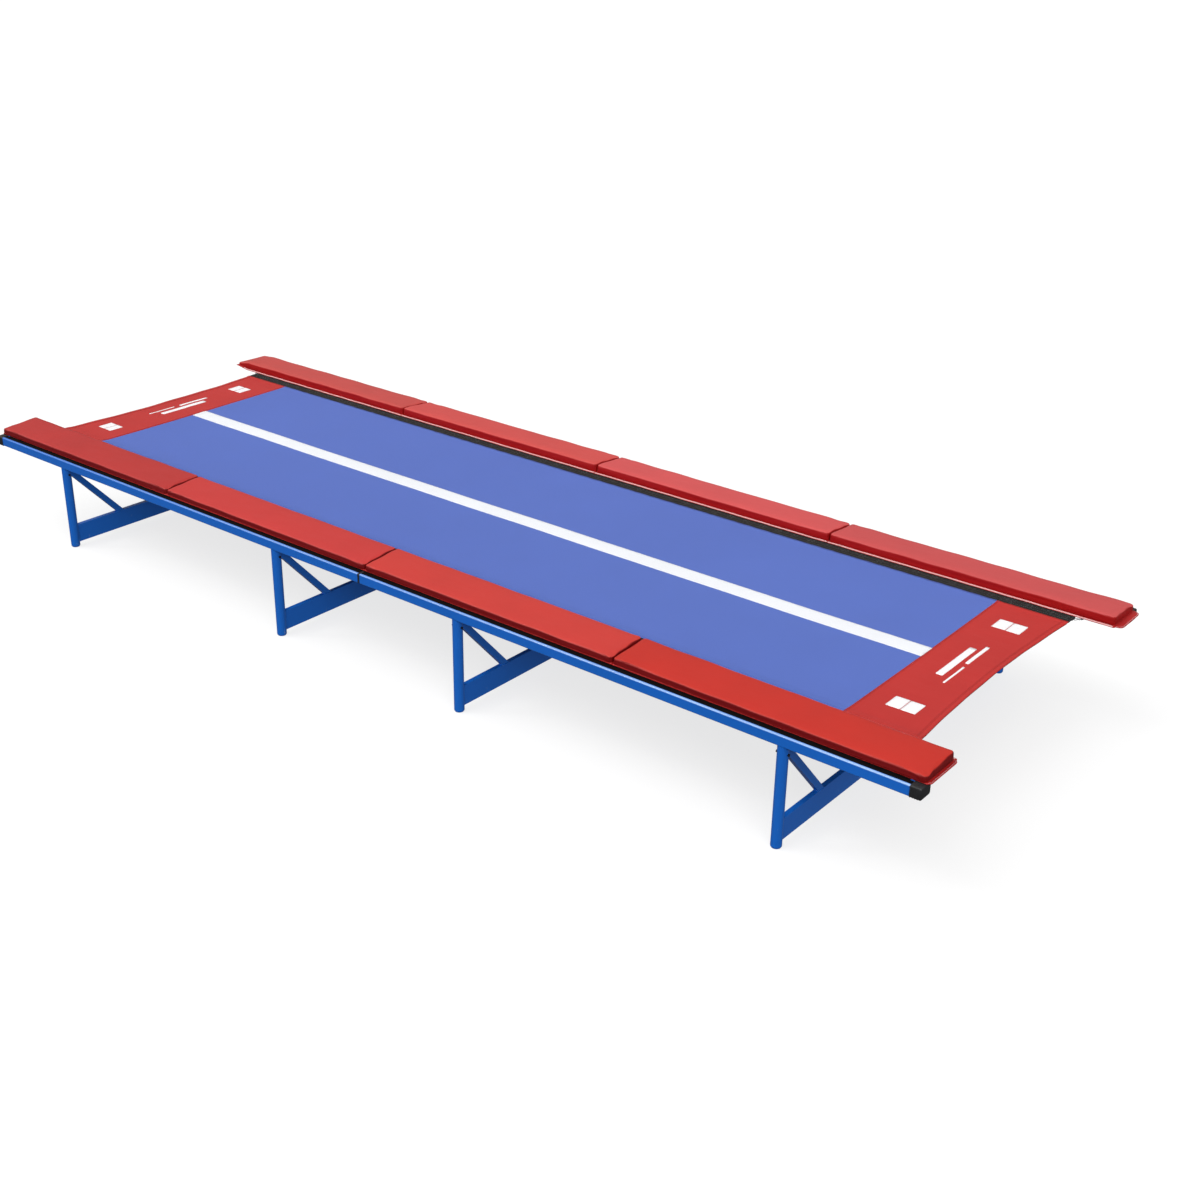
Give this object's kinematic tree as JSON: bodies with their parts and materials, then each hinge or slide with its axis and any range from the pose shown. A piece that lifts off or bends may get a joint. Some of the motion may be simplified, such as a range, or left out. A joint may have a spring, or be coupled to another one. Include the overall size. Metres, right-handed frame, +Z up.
{
  "type": "tumbling trampoline track",
  "caption": "Long, low sprung tumbling bed between two padded steel rails on U-shaped leg frames; the bed sinks and the frame pads fold up and outwards.",
  "frame": {"origin": "on the floor, under the centre of the whole footprint", "axes": "+X runs along the track to the end with the pads' joining tongues, -Y is the near side in the picture, +Z is up"},
  "size_m": [6.136, 2.106, 0.577],
  "materials": {
    "frame_paint": "satin",
    "cap_plastic": "matte",
    "sleeve_steel": "satin",
    "zinc_steel": "satin",
    "hook_tape": "matte",
    "pad_vinyl": "satin",
    "band_vinyl": "satin",
    "webbing": "matte",
    "bed_weave": "matte",
    "line_white": "matte"
  },
  "bodies": {
    "frame": {"near_left_rail": "frame_paint", "near_right_rail": "frame_paint", "far_left_rail": "frame_paint", "far_right_rail": "frame_paint", "near_left_cap": "cap_plastic", "near_right_cap": "cap_plastic", "far_left_cap": "cap_plastic", "far_right_cap": "cap_plastic", "near_splice_sleeve": "sleeve_steel", "far_splice_sleeve": "sleeve_steel", "splice_bolts": "zinc_steel", "leg_bolts": "zinc_steel", "near_post_1": "frame_paint", "near_post_2": "frame_paint", "near_post_3": "frame_paint", "near_post_4": "frame_paint", "far_post_1": "frame_paint", "far_post_2": "frame_paint", "far_post_3": "frame_paint", "far_post_4": "frame_paint", "near_foot_1": "frame_paint", "near_foot_2": "frame_paint", "near_foot_3": "frame_paint", "near_foot_4": "frame_paint", "far_foot_1": "frame_paint", "far_foot_2": "frame_paint", "far_foot_3": "frame_paint", "far_foot_4": "frame_paint", "near_brace_1": "frame_paint", "near_brace_2": "frame_paint", "near_brace_3": "frame_paint", "near_brace_4": "frame_paint", "far_brace_1": "frame_paint", "far_brace_2": "frame_paint", "far_brace_3": "frame_paint", "far_brace_4": "frame_paint", "crossbar_1": "frame_paint", "crossbar_2": "frame_paint", "crossbar_3": "frame_paint", "crossbar_4": "frame_paint", "near_hook_tape": "hook_tape", "far_hook_tape": "hook_tape", "near_springs": "zinc_steel", "far_springs": "zinc_steel"},
    "bed": {"bed_sheet": "bed_weave", "center_line": "line_white", "left_end_band": "band_vinyl", "right_end_band": "band_vinyl", "near_border": "webbing", "far_border": "webbing", "near_v_rings": "zinc_steel", "far_v_rings": "zinc_steel"},
    "near_pad_1": {"near_pad_1": "pad_vinyl"},
    "near_pad_2": {"near_pad_2": "pad_vinyl"},
    "near_pad_3": {"near_pad_3": "pad_vinyl"},
    "near_pad_4": {"near_pad_4": "pad_vinyl"},
    "far_pad_1": {"far_pad_1": "pad_vinyl"},
    "far_pad_2": {"far_pad_2": "pad_vinyl"},
    "far_pad_3": {"far_pad_3": "pad_vinyl"},
    "far_pad_4": {"far_pad_4": "pad_vinyl"}
  },
  "joints": [
    {"name": "bed_bounce", "type": "slide", "parent": "frame", "child": "bed", "axis": [0, 0, -1], "range_m": [0, 0.15], "stiffness_N_per_m": 8000, "springref_m": -0.05, "deforming": ["near_springs", "far_springs"]},
    {"name": "near_pad_1_fold", "type": "hinge", "parent": "frame", "child": "near_pad_1", "pos_m": [0, -1.014, 0.54], "axis": [1, 0, 0], "range_deg": [0, 90]},
    {"name": "near_pad_2_fold", "type": "hinge", "parent": "frame", "child": "near_pad_2", "pos_m": [0, -1.014, 0.54], "axis": [1, 0, 0], "range_deg": [0, 90]},
    {"name": "near_pad_3_fold", "type": "hinge", "parent": "frame", "child": "near_pad_3", "pos_m": [0, -1.014, 0.54], "axis": [1, 0, 0], "range_deg": [0, 90]},
    {"name": "near_pad_4_fold", "type": "hinge", "parent": "frame", "child": "near_pad_4", "pos_m": [0, -1.014, 0.54], "axis": [1, 0, 0], "range_deg": [0, 90]},
    {"name": "far_pad_1_fold", "type": "hinge", "parent": "frame", "child": "far_pad_1", "pos_m": [0, 1.014, 0.54], "axis": [-1, 0, 0], "range_deg": [0, 90]},
    {"name": "far_pad_2_fold", "type": "hinge", "parent": "frame", "child": "far_pad_2", "pos_m": [0, 1.014, 0.54], "axis": [-1, 0, 0], "range_deg": [0, 90]},
    {"name": "far_pad_3_fold", "type": "hinge", "parent": "frame", "child": "far_pad_3", "pos_m": [0, 1.014, 0.54], "axis": [-1, 0, 0], "range_deg": [0, 90]},
    {"name": "far_pad_4_fold", "type": "hinge", "parent": "frame", "child": "far_pad_4", "pos_m": [0, 1.014, 0.54], "axis": [-1, 0, 0], "range_deg": [0, 90]}
  ]
}
